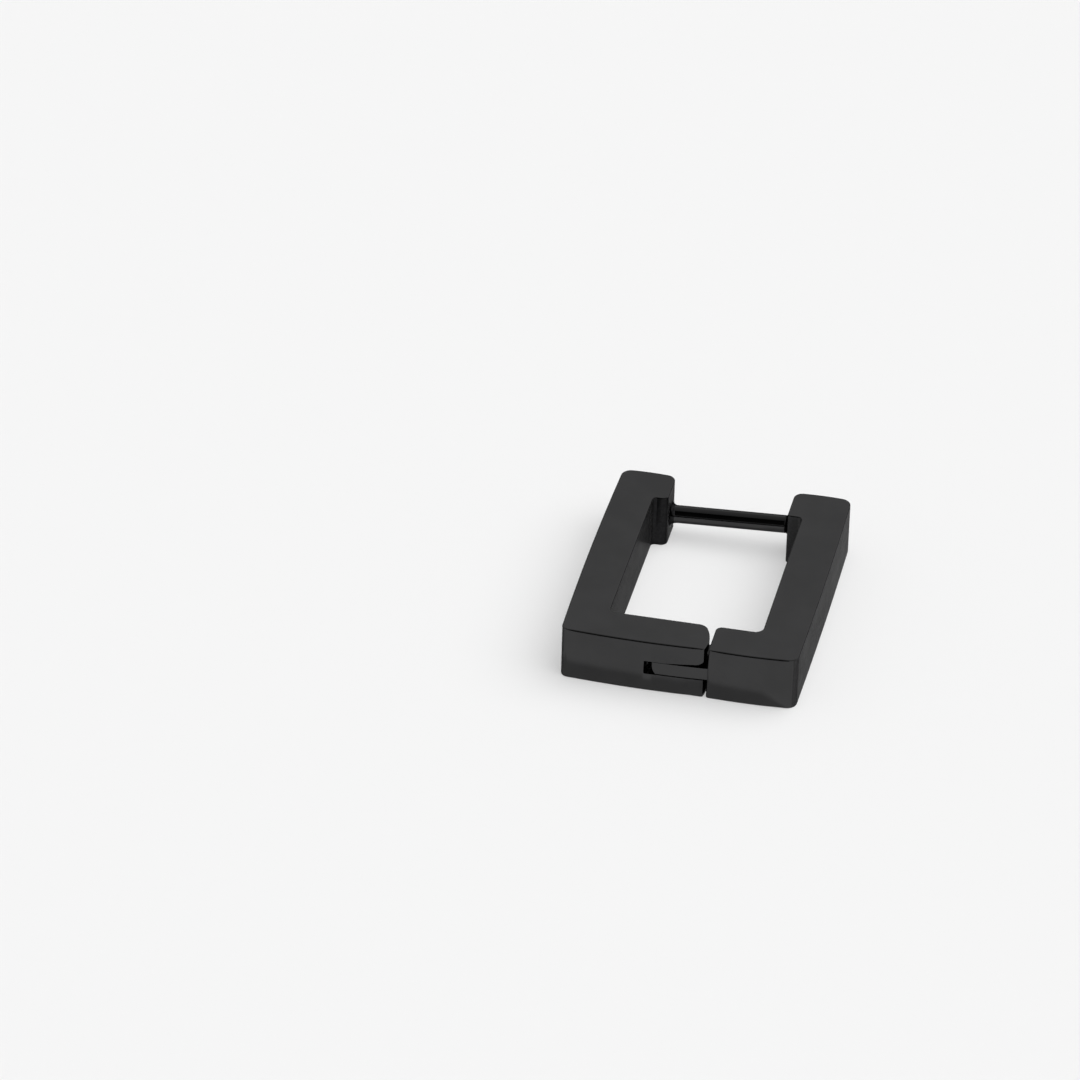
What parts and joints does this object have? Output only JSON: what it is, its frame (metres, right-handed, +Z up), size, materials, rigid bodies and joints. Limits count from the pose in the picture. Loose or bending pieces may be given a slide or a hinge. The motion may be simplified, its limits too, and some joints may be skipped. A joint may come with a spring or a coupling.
{
  "type": "square huggie earring",
  "caption": "Slim square huggie earring with a hinge in its bar and a straight ear post that closes into a catch hole.",
  "frame": {"origin": "middle of the closed earring's outline, on the flat face that it lies on", "axes": "+X across the arms from the long half to the short half, +Y from the hinge bar to the ear post, +Z up through the thickness"},
  "size_m": [0.011, 0.014, 0.0026],
  "materials": {
    "black_plating": "polished black plating",
    "pin_steel": "dark satin steel"
  },
  "bodies": {
    "long_body": {"long_half": "black_plating", "hinge_pin": "pin_steel"},
    "short_body": {"short_half": "black_plating"}
  },
  "joints": [
    {"name": "hinge", "type": "hinge", "parent": "long_body", "child": "short_body", "pos_m": [-0.00026, -0.00632, 0], "axis": [0, 0, -1], "range_deg": [0, 60]}
  ]
}
